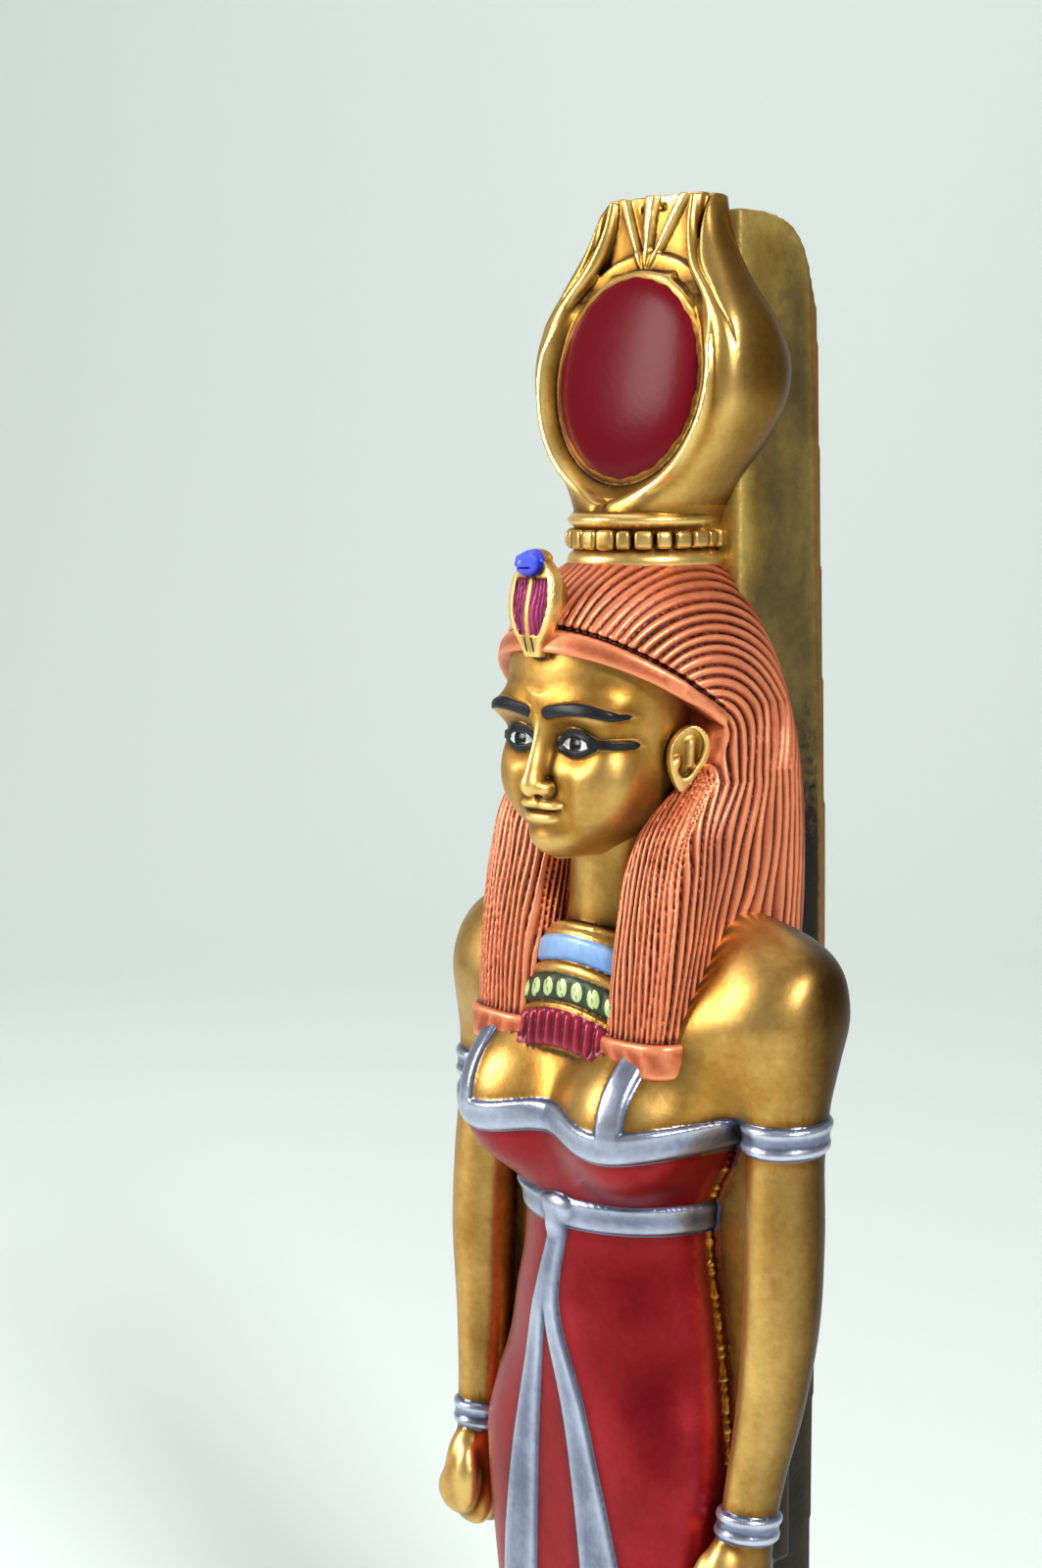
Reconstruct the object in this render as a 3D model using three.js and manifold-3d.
// Standing goddess statuette: a painted resin casting with a horned headdress, a long wig, a sheath dress and a
// narrow back pillar, on a low base. Millimetres, +Z up. The figure faces -Y and its left side is +X.
// The whole work is one casting, so it is one solid.
import * as THREE from "three";
import { ParametricGeometry } from "three/addons/geometries/ParametricGeometry.js";
import { mergeVertices } from "three/addons/utils/BufferGeometryUtils.js";
import Module from "manifold-3d";

const wasm = await Module();
wasm.setup();

// Driving sizes.
const HEIGHT = 300;
const BASE = { halfWidth: 31, front: -30, back: 30, height: 10, edge: 1.2 };
const PILLAR = { halfWidth: 14, front: 11, top: 297, corner: 6.5,
  back: [[2, 27.4], [60, 27.4], [100, 27.5], [125, 28.2], [150, 29.3], [178, 30], [198, 29.8], [220, 29.1], [245, 28.2],
    [266, 27.6], [284, 27.0], [292, 25.2]] };

// Stations of the lofted forms: height z, half width w, widest line at y = c, front f, back b, squareness n.
const DRESS = [
  { z: 17, w: 15.0, c: 1, f: -12.6, b: 14, n: 2.5 },
  { z: 24, w: 15.6, c: 1, f: -13.0, b: 14, n: 2.5 },
  { z: 50, w: 18.2, c: 1, f: -13.3, b: 14.5, n: 2.6 },
  { z: 78, w: 21.6, c: 2, f: -13.6, b: 16, n: 3.0 },
  { z: 92, w: 22.9, c: 2, f: -13.8, b: 17, n: 3.2 },
  { z: 104, w: 24.8, c: 2.5, f: -13.9, b: 17.5, n: 3.2 },
  { z: 111, w: 25.3, c: 2.5, f: -14.0, b: 17.5, n: 3.2 },
  { z: 117, w: 24.3, c: 2.5, f: -14.1, b: 17, n: 3.1 },
  { z: 124, w: 21.9, c: 2.5, f: -14.3, b: 16.5, n: 3.0 },
  { z: 134, w: 18.3, c: 2, f: -14.4, b: 15, n: 2.8 },
  { z: 145, w: 16.1, c: 2, f: -13.5, b: 14, n: 2.4 },
  { z: 151, w: 17.3, c: 2, f: -13.2, b: 14, n: 2.5 },
  { z: 158, w: 21.4, c: 2, f: -14.8, b: 14, n: 2.7 },
  { z: 165, w: 25.2, c: 2, f: -15.2, b: 14, n: 2.9 },
  { z: 173, w: 28.4, c: 2.5, f: -12.7, b: 14.5, n: 3.1 },
  { z: 183, w: 28.6, c: 3, f: -9.2, b: 14.5, n: 2.6 },
  { z: 190, w: 27.5, c: 5, f: -1.5, b: 13.5, n: 2.4 },
  { z: 195.6, w: 18.0, c: 5, f: 0, b: 11, n: 2.2 },
];
const BREAST = { x: 12.4, y: -11.2, z: 164.6, rx: 9.2, ry: 7.2, rz: 9.4 };
const NECK = [
  { z: 181, w: 12.5, c: 1, f: -8.6, b: 12, n: 2.1 },
  { z: 187, w: 12.0, c: 1, f: -9.4, b: 12, n: 2.1 },
  { z: 193, w: 9.4, c: 1, f: -8.6, b: 12, n: 2.0 },
  { z: 199, w: 8.2, c: 1, f: -7.8, b: 12, n: 2.0 },
  { z: 210, w: 8.6, c: 1, f: -8.0, b: 12, n: 2.0 },
];

// Arm: centre line and radius from the shoulder to the wrist, on the +X side; the other arm mirrors it.
const ARM = [
  { x: 21, y: 5.6, z: 186.4, r: 7.2 },
  { x: 27.6, y: 5.0, z: 185.8, r: 8.0 },
  { x: 31.2, y: 3.5, z: 180.4, r: 8.6 },
  { x: 32.2, y: 2.9, z: 174.5, r: 7.3 },
  { x: 32.3, y: 1.3, z: 164, r: 5.8 },
  { x: 33.1, y: 0.3, z: 150, r: 5.9 },
  { x: 33.3, y: -0.5, z: 138, r: 5.7 },
  { x: 32.0, y: -1.7, z: 124, r: 4.9 },
  { x: 30.8, y: -3.2, z: 114, r: 4.3 },
  { x: 30.0, y: -4.2, z: 105, r: 4.1 },
  { x: 29.8, y: -4.8, z: 99, r: 4.0 },
];
const ARMLET = { z: 163.4, width: 5.0, rise: 0.6 };
const WRISTBAND = { z: 108.4, width: 4.6, rise: 0.6 };
const FIST = { x: 29.4, y: -5.0, z: 96.8, rx: 4.6, ry: 6.8, rz: 8.6, slant: 0.35, fingers: 4, knuckle: 1.0, thumb: 1.9 };
const WEB = { inner: 12, front: -0.4, armpit: -4.6, back: 9.5, outerBack: 4.0, low: 100, high: 184 };

// Dress trim: belt, knot and the two hanging ends, straps and the wavy band under them.
const BELT = { z: 149.6, width: 3.6, rise: 0.7 };
const KNOT = { z: 148.6, r: 2.6 };
// Hanging ends: drift of the pair off the middle, half their spread and the width of each, down the dress.
const ENDS = [
  { z: 147, drift: 0, spread: 0.15, width: 2.6 },
  { z: 137, drift: -2.4, spread: 1.0, width: 2.4 },
  { z: 119.5, drift: -2.1, spread: 4.9, width: 4.1 },
  { z: 93, drift: -1.2, spread: 9.1, width: 7.3 },
  { z: 55, drift: -0.6, spread: 10.4, width: 7.8 },
  { z: 20, drift: 0, spread: 9.4, width: 7.2 },
];
const ENDS_RISE = 0.75;
const STRAP = { inner: 13.7, width: 5.0, low: 166, high: 176 };
const NECKLINE = { z: 162.4, wave: 1.8, width: 4.4, rise: 0.7 };

// Collar of rows between the lappets: heights and how far each row stands proud.
const COLLAR = [[190.4, 1.2], [188.6, 0.6], [184.4, 1.2], [183.2, 0.6], [178.6, 1.2], [177.4, 0.7], [172.2, 1.1]];

// Head, wig and face.
const WIG = [
  { z: 186, w: 22.4, c: 7, f: -7.0, b: 21.5, n: 2.4, m: 3.6 },
  { z: 194, w: 23.0, c: 7, f: -8.0, b: 22.0, n: 2.4, m: 3.6 },
  { z: 203, w: 23.3, c: 7, f: -8.6, b: 22.0, n: 2.3, m: 3.6 },
  { z: 212, w: 23.2, c: 7, f: -9.4, b: 21.8, n: 2.2, m: 3.5 },
  { z: 221, w: 22.8, c: 6.5, f: -13.5, b: 21.2, n: 2.1, m: 3.2 },
  { z: 228, w: 21.8, c: 5.5, f: -16.4, b: 20.6, n: 2.0, m: 2.9 },
  { z: 234, w: 20.2, c: 5, f: -16.7, b: 19.6, n: 2.0, m: 2.6 },
  { z: 239, w: 17.8, c: 5, f: -14.8, b: 18.4, n: 2.0, m: 2.3 },
  { z: 243, w: 14.8, c: 5.2, f: -11.2, b: 17.0, n: 2.0, m: 2.1 },
  { z: 246.5, w: 11.2, c: 5.4, f: -6.0, b: 16.4, n: 2.0, m: 2.0 },
];
const LOCKS = { count: 24, depth: 0.45 };
const LAPPET = [
  { z: 214, x: 17.6, w: 4.4, c: 2, f: -3.6, b: 6, n: 2.6 },
  { z: 208, x: 16.2, w: 6.2, c: -1, f: -7.4, b: 6, n: 3.0 },
  { z: 202, x: 15.4, w: 7.3, c: -3, f: -9.0, b: 6, n: 3.0 },
  { z: 195, x: 15.2, w: 7.3, c: -5, f: -10.4, b: 6, n: 3.0 },
  { z: 186, x: 14.9, w: 7.1, c: -6, f: -11.8, b: 3, n: 3.2 },
  { z: 178.6, x: 14.6, w: 6.9, c: -7, f: -12.6, b: 0, n: 3.2 },
];
const LAPPET_END = { z: 172.9, band: 4.9, x: 14.6, w: 7.0, f: -13.4, b: -3, rise: 0.45 };
const WINDOW = { half: 18.0, low: 178, spring: 219, top: 233.8, back: 0.2 };
const FACE = [
  { z: 203.8, w: 3.6, c: -8, f: -12.8, b: 4, n: 2.0 },
  { z: 205.4, w: 6.4, c: -7, f: -14.9, b: 4, n: 2.0 },
  { z: 208.2, w: 9.6, c: -5, f: -15.3, b: 6, n: 2.1 },
  { z: 212.0, w: 12.2, c: -4, f: -15.4, b: 8, n: 2.2 },
  { z: 217.0, w: 14.0, c: -3, f: -15.5, b: 8, n: 2.3 },
  { z: 221.5, w: 14.8, c: -3, f: -15.4, b: 8, n: 2.3 },
  { z: 224.0, w: 15.0, c: -3, f: -16.2, b: 8, n: 2.3 },
  { z: 229.0, w: 15.0, c: -3, f: -16.3, b: 8, n: 2.3 },
  { z: 235.0, w: 14.6, c: -3, f: -15.6, b: 8, n: 2.2 },
];
const NOSE = { z: 214.2, top: 223.2, tip: -19.2, root: -15.9, half: 2.7, bridge: 1.1 };
const MOUTH = { z: 210.9, half: 4.1, y: -15.2, lip: 1.05 };
const EYE = { x: 6.1, z: 220.6, y: -14.2, rx: 3.1, ry: 1.5, rz: 1.35 };
const EAR = { x: 16.9, y: -2.2, z: 217.8, ry: 3.0, rz: 5.2, turn: 0.42 };
const HEADBAND = { z: 234.0, width: 2.8, rise: 0.5, drop: 17 };
const COBRA = { y: -17.2, low: 233.4, hood: 240.2, head: 246.9, half: 3.9, thick: 1.4, headR: 2.1 };

// Ring of beads, horns, disk and the ribbed panel above it.
const RING = { y: 5.4, low: 245.6, high: 253.2, lip: 11.8, well: 10.6, beads: 24, beadR: 1.35, z: 249.6 };
const HORNS = [
  { z: 252.4, w: 11.0, c: 6.9, f: -4.4, b: 18.0, n: 2.2, m: 2.2 },
  { z: 257.5, w: 14.4, c: 7.4, f: -2.3, b: 16.0, n: 3.0, m: 2.3 },
  { z: 263.0, w: 18.4, c: 7.8, f: -0.9, b: 18.4, n: 4.0, m: 2.4 },
  { z: 269.0, w: 21.2, c: 8.0, f: -0.2, b: 21.3, n: 5.0, m: 2.4 },
  { z: 275.0, w: 21.5, c: 8.0, f: -0.1, b: 22.4, n: 5.0, m: 2.4 },
  { z: 281.0, w: 21.0, c: 8.2, f: 1.1, b: 20.6, n: 5.0, m: 2.4 },
  { z: 287.0, w: 17.6, c: 8.6, f: 2.8, b: 18.2, n: 5.0, m: 2.4 },
  { z: 293.0, w: 13.6, c: 9.2, f: 4.5, b: 19.2, n: 5.0, m: 2.4 },
  { z: 301.0, w: 10.8, c: 10.2, f: 6.4, b: 20.0, n: 5.0, m: 2.4 },
];
const HOLLOW = [[0, 255.0], [6, 257.0], [11.8, 261.0], [16, 266.8], [17.6, 273.4], [16.8, 279.6], [13.4, 285.0],
  [10, 289.2], [8.3, 293.4], [7.5, 301]];
const DISK = { y: 2.6, z: 273.0, r: 14.9, dome: 3.0, tilt: 6.8, rim: 0.8 };
const PANEL = { low: 287.6, high: HEIGHT, topHalf: 7.6, front: 7.6, lowFront: 5.9, fold: 2.4, rib: 0.75, slope: 0.11 };

// Geometry helpers.
const { sin, cos, abs, sign, pow, PI, sqrt, min, max, round } = Math;
const lerp = THREE.MathUtils.lerp;
const rad = THREE.MathUtils.degToRad;
const smooth = (t) => t * t * (3 - 2 * t);

// A closed three.js geometry becomes a solid: shared points merged, flat triangles dropped, faces turned out.
function solid(geometry) {
  const g = geometry.clone();
  for (const name of ["normal", "uv"]) g.deleteAttribute(name);
  const merged = mergeVertices(g, 1e-4);
  const p = merged.attributes.position.array;
  const index = merged.index ? [...merged.index.array] : [...Array(p.length / 3).keys()];
  const tri = [];
  for (let i = 0; i < index.length; i += 3) {
    const [a, b, c] = [index[i], index[i + 1], index[i + 2]];
    if (a !== b && b !== c && a !== c) tri.push(a, b, c);
  }
  let volume = 0;
  const v = (i) => new THREE.Vector3(p[3 * i], p[3 * i + 1], p[3 * i + 2]);
  for (let i = 0; i < tri.length; i += 3) volume += v(tri[i]).dot(v(tri[i + 1]).cross(v(tri[i + 2])));
  if (volume < 0) for (let i = 0; i < tri.length; i += 3) [tri[i], tri[i + 1]] = [tri[i + 1], tri[i]];
  const mesh = new wasm.Mesh({ numProp: 3, vertProperties: new Float32Array(p), triVerts: new Uint32Array(tri) });
  return new wasm.Manifold(mesh);
}

// Value of one key of a station list at height z, along a Catmull-Rom spline through the stations.
function at(list, z, key) {
  let i = 0;
  while (i < list.length - 2 && (list[i + 1].z - z) * sign(list[1].z - list[0].z) < 0) i++;
  const [p0, p1, p2, p3] = [list[max(0, i - 1)], list[i], list[i + 1], list[min(list.length - 1, i + 2)]];
  const t = THREE.MathUtils.clamp((z - p1.z) / (p2.z - p1.z), 0, 1);
  const d1 = (p2[key] - p0[key]) / (p2.z - p0.z) * (p2.z - p1.z);
  const d2 = (p3[key] - p1[key]) / (p3.z - p1.z) * (p2.z - p1.z);
  const t2 = t * t, t3 = t2 * t;
  return (2 * t3 - 3 * t2 + 1) * p1[key] + (t3 - 2 * t2 + t) * d1 + (3 * t2 - 2 * t3) * p2[key] + (t3 - t2) * d2;
}

// Point of a superellipse section at angle a; a = 0 is +X, a = PI / 2 the back, a = -PI / 2 the front.
function onSection(list, z, a, grow = 0) {
  const n = at(list, z, sin(a) > 0 && list[0].m ? "m" : "n");
  const c = at(list, z, "c");
  const x = (list[0].x === undefined ? 0 : at(list, z, "x"));
  const w = at(list, z, "w") + grow;
  const deep = (sin(a) > 0 ? at(list, z, "b") - c : c - at(list, z, "f")) + grow;
  return [x + w * sign(cos(a)) * pow(abs(cos(a)), 2 / n), c + deep * sign(sin(a)) * pow(abs(sin(a)), 2 / n)];
}

// Skin over rings: point(u, v) with u around and v from the first ring to the last; both ends close to a point.
function skin(point, around, along, ends = true) {
  const stacks = along + (ends ? 2 : 0);
  return solid(new ParametricGeometry((u, v, target) => {
    const k = round(v * stacks);
    const s = ends ? THREE.MathUtils.clamp((k - 1) / along, 0, 1) : v;
    if (ends && (k === 0 || k === stacks)) {
      const a = point(0, s), b = point(0.5, s);
      target.set((a[0] + b[0]) / 2, (a[1] + b[1]) / 2, (a[2] + b[2]) / 2);
      return;
    }
    const p = point(u === 1 ? 0 : u, s);
    target.set(p[0], p[1], p[2]);
  }, around, stacks));
}

// Loft through a station list; shape(angle, z) may push the skin in or out.
function loft(list, around, along, shape = () => 0) {
  const z0 = list[0].z, z1 = list[list.length - 1].z;
  return skin((u, v) => {
    const a = u * 2 * PI, z = lerp(z0, z1, v);
    const [x, y] = onSection(list, z, a, shape(a, z));
    return [x, y, z];
  }, around, along);
}

const mirror = (s) => s.mirror([1, 0, 0]);
const both = (s) => s.add(mirror(s));
const box = (x0, x1, y0, y1, z0, z1) =>
  solid(new THREE.BoxGeometry(x1 - x0, y1 - y0, z1 - z0).translate((x0 + x1) / 2, (y0 + y1) / 2, (z0 + z1) / 2));
const ball = (x, y, z, rx, ry, rz, detail = 2) =>
  solid((detail ? new THREE.IcosahedronGeometry(1, detail) : new THREE.SphereGeometry(1, 6, 3)).scale(rx, ry, rz).translate(x, y, z));

// Base, pillar and feet.
const slab = solid(new THREE.ExtrudeGeometry(new THREE.Shape([
  new THREE.Vector2(-BASE.halfWidth + BASE.edge, BASE.front + BASE.edge),
  new THREE.Vector2(BASE.halfWidth - BASE.edge, BASE.front + BASE.edge),
  new THREE.Vector2(BASE.halfWidth - BASE.edge, BASE.back - BASE.edge),
  new THREE.Vector2(-BASE.halfWidth + BASE.edge, BASE.back - BASE.edge),
]), { depth: BASE.height - 2 * BASE.edge, bevelThickness: BASE.edge, bevelSize: BASE.edge, bevelSegments: 2 })
  .translate(0, 0, BASE.edge));

const side = new THREE.Shape();
side.moveTo(PILLAR.front, 2);
for (const [z, y] of PILLAR.back) side.lineTo(y, z);
side.lineTo(PILLAR.back[0][1] - PILLAR.corner, PILLAR.top - 0.8);
side.lineTo(PILLAR.front + 3, PILLAR.top);
side.lineTo(PILLAR.front, 245);
const pillar = solid(new THREE.ExtrudeGeometry(side, { depth: 2 * PILLAR.halfWidth, bevelEnabled: false, curveSegments: 5 })
  .rotateX(PI / 2).rotateZ(PI / 2).translate(-PILLAR.halfWidth, 0, 0));

function foot() {
  // Heel to toe: half width and height of the foot along its length.
  const long = [[9, 3.6, 9], [2, 4.3, 13], [-6, 4.5, 10.5], [-13, 5.0, 6.4], [-19, 5.4, 4.6], [-24.5, 4.6, 3.6], [-26.2, 2.6, 2.2]];
  return skin((u, v) => {
    const t = v * (long.length - 1), i = min(long.length - 2, Math.floor(t)), k = t - i;
    const [y, w, h] = [0, 1, 2].map((j) => lerp(long[i][j], long[i + 1][j], k));
    const a = u * 2 * PI;
    return [7.2 + (y + 6) * -0.06 + w * cos(a), y, BASE.height - 0.6 + h * max(0, sin(a)) - 0.6 * max(0, -sin(a))];
  }, 8, 7);
}

// Body, dress and trim.
const around = (list, z, a, grow) => [...onSection(list, z, a, grow), z];
const body = loft(DRESS, 22, 13);
const breasts = both(ball(BREAST.x, BREAST.y, BREAST.z, BREAST.rx, BREAST.ry, BREAST.rz, 2));
const neck = loft(NECK, 12, 3);

// A band that follows the dress round its front: z(x), width and rise are read at each angle.
function sash(a0, a1, steps, middle, width, rise, list = DRESS, deep = 2) {
  return skin((u, v) => {
    const a = lerp(a0, a1, v), edge = u * 4, q = Math.floor(edge + 1e-6) % 4;
    const w = typeof width === "function" ? width(a) : width;
    const z = middle(a) + (q === 1 || q === 2 ? w / 2 : -w / 2);
    return around(list, z, a, q === 0 || q === 1 ? rise : -deep);
  }, 4, steps);
}
const belt = sash(-PI * 0.98, PI * -0.02, 16, () => BELT.z, BELT.width, BELT.rise);

// The wavy band under the straps and the two straps lie on the bust, so both are cut from a skin around it.
const BUST = DRESS.map((p) => ({ ...p }));
function trim() {
  const shell = loft(BUST, 22, 14, () => NECKLINE.rise).add(both(
    ball(BREAST.x, BREAST.y, BREAST.z, BREAST.rx + NECKLINE.rise, BREAST.ry + NECKLINE.rise, BREAST.rz + NECKLINE.rise, 2)));
  const wave = (x) => NECKLINE.z - NECKLINE.wave * pow(sin(PI * min(1, abs(x) / (2 * STRAP.inner))), 2);
  const edge = new THREE.Shape();
  const xs = [...Array(17).keys()].map((i) => (i / 8 - 1) * 27);
  edge.moveTo(xs[0], wave(xs[0]));
  for (const x of xs.slice(1)) edge.lineTo(x, wave(x));
  for (const x of [...xs].reverse()) edge.lineTo(x, wave(x) + NECKLINE.width);
  const cutter = (shape) => solid(new THREE.ExtrudeGeometry(shape, { depth: 30, bevelEnabled: false }).rotateX(PI / 2));
  const strap = box(STRAP.inner, STRAP.inner + STRAP.width, -30, 0, STRAP.low - 2, STRAP.high);
  return shell.intersect(cutter(edge).add(both(strap)));
}

// The hanging ends: strips laid on the dress from the knot down, splayed below the join.
function strip(side) {
  return skin((u, v) => {
    const z = lerp(ENDS[0].z, ENDS[ENDS.length - 1].z, v), q = Math.floor(u * 4 + 1e-6) % 4;
    const mid = at(ENDS, z, "drift") + side * at(ENDS, z, "spread"), w = at(ENDS, z, "width");
    const x = mid + (q === 1 || q === 2 ? w / 2 : -w / 2);
    const n = at(DRESS, z, "n"), c = at(DRESS, z, "c"), f = at(DRESS, z, "f");
    const y = c - (c - f) * pow(max(0, 1 - pow(abs(x) / at(DRESS, z, "w"), n)), 1 / n);
    return [x, y - (q === 0 || q === 1 ? ENDS_RISE : -2), z];
  }, 4, 10);
}

// Arms and hands.
const armPath = new THREE.CatmullRomCurve3(ARM.map((p) => new THREE.Vector3(p.x, p.y, p.z)));
const armR = (t) => {
  const k = t * (ARM.length - 1), i = min(ARM.length - 2, Math.floor(k));
  return lerp(ARM[i].r, ARM[i + 1].r, smooth(k - i) * 0.4 + (k - i) * 0.6);
};
function limb(t0, t1, around_, along, grow = () => 0) {
  return skin((u, v) => {
    const t = lerp(t0, t1, v), p = armPath.getPoint(t), d = armPath.getTangent(t);
    const e1 = new THREE.Vector3(0, 1, 0).addScaledVector(d, -d.y).normalize();
    const e2 = new THREE.Vector3().crossVectors(d, e1);
    const a = u * 2 * PI, r = armR(t) + grow(v);
    return p.clone().addScaledVector(e1, r * cos(a)).addScaledVector(e2, r * sin(a)).toArray();
  }, around_, along);
}
const ARM_DOWN = [...ARM].reverse();
const armLength = armPath.getLength();
const cuff = (band) => {
  let t = 0;
  while (armPath.getPoint(t).z > band.z) t += 0.002;
  const h = band.width / 2 / armLength;
  return limb(t - h, t + h, 10, 1, () => band.rise);
};
function hand() {
  // Closed hand, lofted front to back; the lower half swells into four knuckles.
  const fist = skin((u, v) => {
    const a = u * 2 * PI, t = lerp(-0.94, 0.94, v), g = pow(1 - pow(abs(t), 2.4), 0.5);
    const knuckle = sin(a) < -0.2 ? FIST.knuckle * (abs(sin(FIST.fingers * PI * v)) - 0.5) : 0;
    const low = min(0, sin(a)) * FIST.slant * FIST.ry * (t - 0.2);
    return [FIST.x + (FIST.rx * g + knuckle) * cos(a), FIST.y + FIST.ry * t, FIST.z + (FIST.rz * g + knuckle) * sin(a) + low];
  }, 8, 9);
  return fist.add(ball(FIST.x - 1.6, FIST.y - 5.0, FIST.z + 0.6, FIST.thumb, FIST.thumb, 5.0, 0));
}
const web = both(skin((u, v) => {
  const z = lerp(WEB.low, WEB.high, v), q = Math.floor(u * 4 + 1e-6) % 4;
  return [q === 1 || q === 2 ? at(ARM_DOWN, z, "x") : WEB.inner, q < 2 ? lerp(WEB.front, WEB.armpit, THREE.MathUtils.smoothstep(z, 154, 170))
    : q === 2 ? WEB.outerBack : WEB.back, z];
}, 4, 7));

// Wig, head and face.
const lock = (a, z) => LOCKS.depth * cos(LOCKS.count * (a + PI / 2)) * THREE.MathUtils.clamp((246 - z) / 8, 0.2, 1);
let wig = loft(WIG, 2 * LOCKS.count, 7, lock);
const arch = new THREE.Shape();
arch.moveTo(-WINDOW.half, WINDOW.low);
arch.lineTo(WINDOW.half, WINDOW.low);
arch.lineTo(WINDOW.half, WINDOW.spring);
arch.bezierCurveTo(WINDOW.half, WINDOW.spring + 9, WINDOW.half - 6, WINDOW.top, 0, WINDOW.top);
arch.bezierCurveTo(6 - WINDOW.half, WINDOW.top, -WINDOW.half, WINDOW.spring + 9, -WINDOW.half, WINDOW.spring);
const opening = solid(new THREE.ExtrudeGeometry(arch, { depth: 30, bevelEnabled: false, curveSegments: 5 })
  .rotateX(PI / 2).translate(0, WINDOW.back, 0));
wig = wig.subtract(opening);
const lappet = loft(LAPPET, 18, 4, (a) => 0.3 * cos(9 * a));
const lappetEnd = loft([
  { ...LAPPET_END, z: LAPPET_END.z + LAPPET_END.band + 1.2, c: -8, n: 3.4 },
  { ...LAPPET_END, z: LAPPET_END.z, c: -8, n: 3.4 },
], 18, 1, () => LAPPET_END.rise);

const face = loft(FACE, 18, 9);
function nose() {
  let n = ball(0, NOSE.tip + 1.7, NOSE.z + 1.3, 1.5, 1.7, 1.4, 0);
  n = n.add(both(ball(NOSE.half - 1.0, NOSE.root - 0.2, NOSE.z + 0.9, 1.25, 1.5, 1.2, 0)));
  return n.add(skin((u, v) => {
    const z = lerp(NOSE.z + 0.4, NOSE.top + 1, v), h = lerp(1.55, NOSE.bridge, v) , a = u * 2 * PI;
    const front = lerp(NOSE.tip + 0.9, NOSE.root - 0.3, pow(v, 0.9));
    return [h * cos(a), max(front, -15.0 + (front + 15.0) * (0.5 - 0.5 * sin(a)) * 1.0), z];
  }, 8, 3));
}
const lips = both(ball(MOUTH.half * 0.36, MOUTH.y + 0.2, MOUTH.z + 0.65, MOUTH.half * 0.62, 1.35, MOUTH.lip * 0.8, 0))
  .add(ball(0, MOUTH.y + 0.1, MOUTH.z - 0.75, MOUTH.half * 0.78, 1.35, MOUTH.lip * 0.95, 0));
const eyes = both(ball(EYE.x, EYE.y, EYE.z, EYE.rx, EYE.ry, EYE.rz, 1));
const chin = ball(0, -13.2, 206.4, 3.0, 2.7, 2.2, 0);
const ears = both(solid(new THREE.TorusGeometry(1, 0.34, 4, 8).rotateX(PI / 2).rotateZ(PI / 2)
  .scale(1.1, EAR.ry * 0.8, EAR.rz * 0.8).rotateZ(-EAR.turn).translate(EAR.x, EAR.y, EAR.z))
  .add(ball(EAR.x - 0.9, EAR.y + 0.4, EAR.z, 1.5, EAR.ry * 0.9, EAR.rz * 0.9, 0)));

const headband = skin((u, v) => {
  const a = lerp(-PI * 0.91, -PI * 0.09, v), q = Math.floor(u * 4 + 1e-6) % 4;
  const t = abs(a + PI / 2) / (PI / 2);
  const z = HEADBAND.z - HEADBAND.drop * pow(t, 2.36) + (q === 1 || q === 2 ? HEADBAND.width : 0);
  return around(WIG, z, a, q === 0 || q === 1 ? HEADBAND.rise : -2.5);
}, 4, 18);

const hood = skin((u, v) => {
  const z = lerp(COBRA.low, COBRA.head, v), a = u * 2 * PI;
  const w = lerp(2.2, 1.6, v) + (COBRA.half - 2.0) * pow(sin(PI * pow(v, 1.1)), 1.2);
  const y = COBRA.y - 0.9 * sin(PI * v) + 1.0 * v;
  return [w * cos(a), y + COBRA.thick * sin(a), z];
}, 10, 5).add(ball(0, COBRA.y + 0.4, COBRA.head, COBRA.headR * 0.95, COBRA.headR * 1.25, COBRA.headR, 1))
  .add(box(-1.5, 1.5, COBRA.y, COBRA.y + 8, COBRA.low, COBRA.hood + 2));

// Collar between the lappets.
const steps = [];
for (let i = 0; i < COLLAR.length - 1; i++) steps.push([COLLAR[i][0], COLLAR[i][1]], [COLLAR[i + 1][0], COLLAR[i][1]]);
steps.push([COLLAR[COLLAR.length - 1][0], -2.5], [COLLAR[0][0], -2.5]);
const collar = () => skin((u, v) => {
  const a = lerp(-PI * 0.80, -PI * 0.20, v), [z, rise] = steps[round(u * steps.length) % steps.length];
  return around(CHEST, z, a, rise);
}, steps.length, 8);
const CHEST = [
  { z: 168, w: 19.0, c: -1, f: -12.6, b: 9, n: 2.3 },
  { z: 176, w: 17.5, c: -1, f: -12.2, b: 9, n: 2.2 },
  { z: 184, w: 14.8, c: -1, f: -10.8, b: 9, n: 2.1 },
  { z: 191, w: 11.6, c: -1, f: -9.2, b: 9, n: 2.0 },
];

// Ring, horns, disk and panel.
const ringProfile = [[0, RING.low], [RING.lip - 0.5, RING.low], [RING.lip, RING.low + 0.6], [RING.lip - 0.1, RING.low + 1.9],
  [RING.well, RING.low + 2.3], [RING.well, RING.high - 1.9], [RING.lip - 0.1, RING.high - 1.6],
  [RING.lip - 0.1, RING.high - 0.3], [RING.lip - 0.9, RING.high], [0, RING.high]].map(([r, z]) => new THREE.Vector2(r, z));
const ring = solid(new THREE.LatheGeometry(ringProfile, 18).rotateX(PI / 2).translate(0, RING.y, 0));
const bead = solid(new THREE.SphereGeometry(RING.beadR, 5, 3));
function beads() {
  const all = [];
  for (let i = 0; i < RING.beads; i++) {
    const a = (i + 0.5) * 2 * PI / RING.beads;
    if (sin(a) > 0.62) continue;
    all.push(bead.translate((RING.lip - 0.75) * cos(a), RING.y + (RING.lip - 0.75) * sin(a), RING.z));
  }
  return wasm.Manifold.union(all);
}
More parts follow.
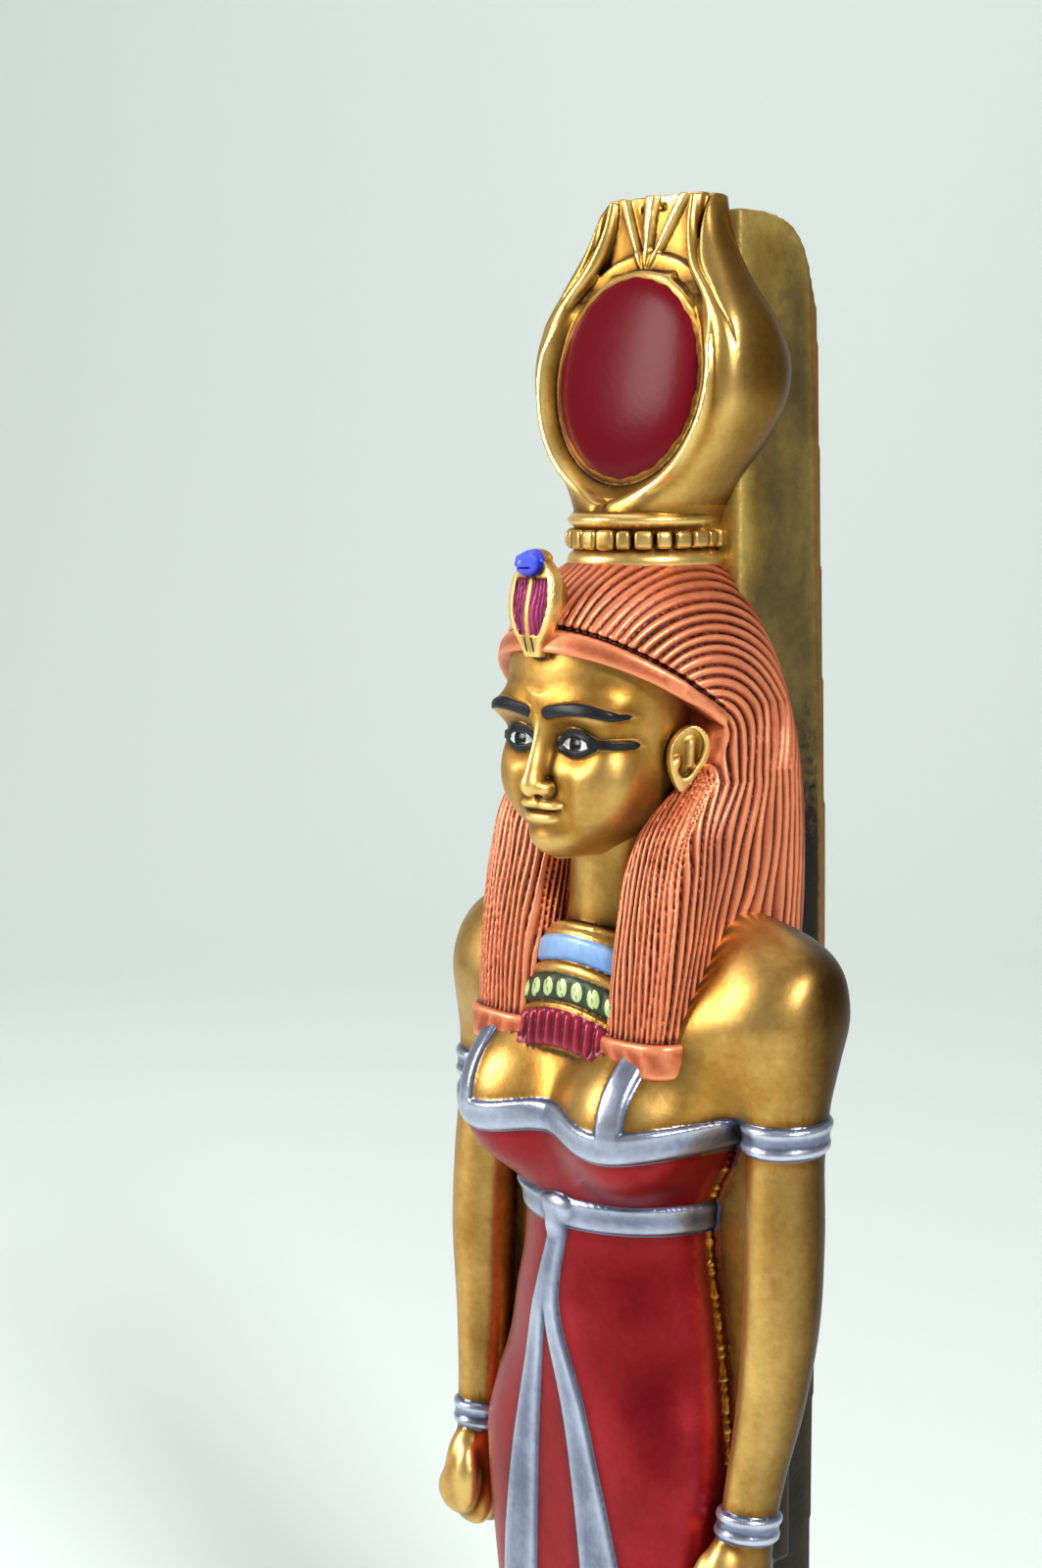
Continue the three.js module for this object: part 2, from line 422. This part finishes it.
const crown = solid(new THREE.BoxGeometry(80, 80, 20).translate(0, 0, 10).rotateX(-PANEL.slope).translate(0, 6, HEIGHT - 0.1));
const vase = loft(HORNS, 22, 9).subtract(crown);
const inner = new THREE.Shape();
const contour = new THREE.SplineCurve(HOLLOW.map(([x, z]) => new THREE.Vector2(x, z))).getPoints(14);
inner.moveTo(contour[0].x, contour[0].y);
for (const p of contour.slice(1)) inner.lineTo(p.x, p.y);
for (const p of [...contour].reverse().slice(0, -1)) inner.lineTo(-p.x, p.y);
const lean = rad(DISK.tilt);
const hollow = solid(new THREE.ExtrudeGeometry(inner, { depth: 26, bevelEnabled: false })
  .rotateX(PI / 2).translate(0, 0, -DISK.z).rotateX(-lean).translate(0, DISK.y + 2.0, DISK.z));
const diskProfile = [];
for (let i = 0; i <= 4; i++) {
  const t = i / 4;
  diskProfile.push(new THREE.Vector2(DISK.r * sin(t * PI / 2), -DISK.dome * (pow(cos(t * PI / 2), 1.0))));
}
diskProfile.push(new THREE.Vector2(DISK.r + DISK.rim, -0.3), new THREE.Vector2(DISK.r + DISK.rim, 5), new THREE.Vector2(0, 5));
const disk = solid(new THREE.LatheGeometry(diskProfile, 20).rotateX(-lean).translate(0, DISK.y, DISK.z));
function panel() {
  const sheet = (x0, x1) => skin((u, v) => {
    const q = Math.floor(u * 4 + 1e-6) % 4, s = q === 1 || q === 2 ? 1 : 0;
    const z = lerp(PANEL.low, PANEL.high - 1.2, v), front = lerp(PANEL.lowFront, PANEL.front, v);
    const x = lerp(x0, x1, s) * PANEL.topHalf;
    return [x, q === 0 || q === 1 ? front + PANEL.fold * abs(lerp(x0, x1, s)) * 0.5 : 14, z];
  }, 4, 1);
  const rib = (x) => {
    const path = new THREE.LineCurve3(new THREE.Vector3(x * 0.12, PANEL.lowFront - 0.3, PANEL.low),
      new THREE.Vector3(x * PANEL.topHalf, PANEL.front + PANEL.fold * abs(x) * 0.5 - 0.2, PANEL.high - 0.4));
    const shape = new THREE.Shape();
    shape.absarc(0, 0, PANEL.rib, 0, 2 * PI);
    return solid(new THREE.ExtrudeGeometry(shape, { steps: 1, extrudePath: path, curveSegments: 4 }));
  };
  return sheet(-1, 0).add(sheet(0, 1)).add(rib(-1)).add(rib(0)).add(rib(1));
}

// The casting.
const parts = {
  slab, pillar, feet: both(foot()), body, breasts, neck, trim: trim(), belt, strips: strip(1).add(strip(-1)),
  knot: ball(0, at(DRESS, KNOT.z, "f") - 0.4, KNOT.z, KNOT.r * 1.2, KNOT.r * 0.7, KNOT.r, 1),
  arms: both(limb(0, 1, 10, 10)), armlets: both(cuff(ARMLET)), cuffs: both(cuff(WRISTBAND)), hands: both(hand()), web,
  wig, lappets: both(lappet), ends: both(lappetEnd), face, nose: nose(), lips, eyes, chin, ears, headband, hood,
  collar: collar(), ring, beads: beads(), vase: vase.subtract(hollow), disk, panel: panel(),
};
let work = null;
for (const key of Object.keys(parts)) work = work ? work.add(parts[key]) : parts[key];

const out = work.getMesh();
const geometry = new THREE.BufferGeometry();
geometry.setAttribute("position", new THREE.BufferAttribute(new Float32Array(out.vertProperties), 3));
geometry.setIndex([...out.triVerts]);
geometry.computeVertexNormals();
const statue = new THREE.Mesh(geometry, new THREE.MeshStandardMaterial({ color: 0xb08a3a, roughness: 0.42, metalness: 0.55 }));
statue.name = "statue";

const group = new THREE.Group();
group.add(statue);
export default group;
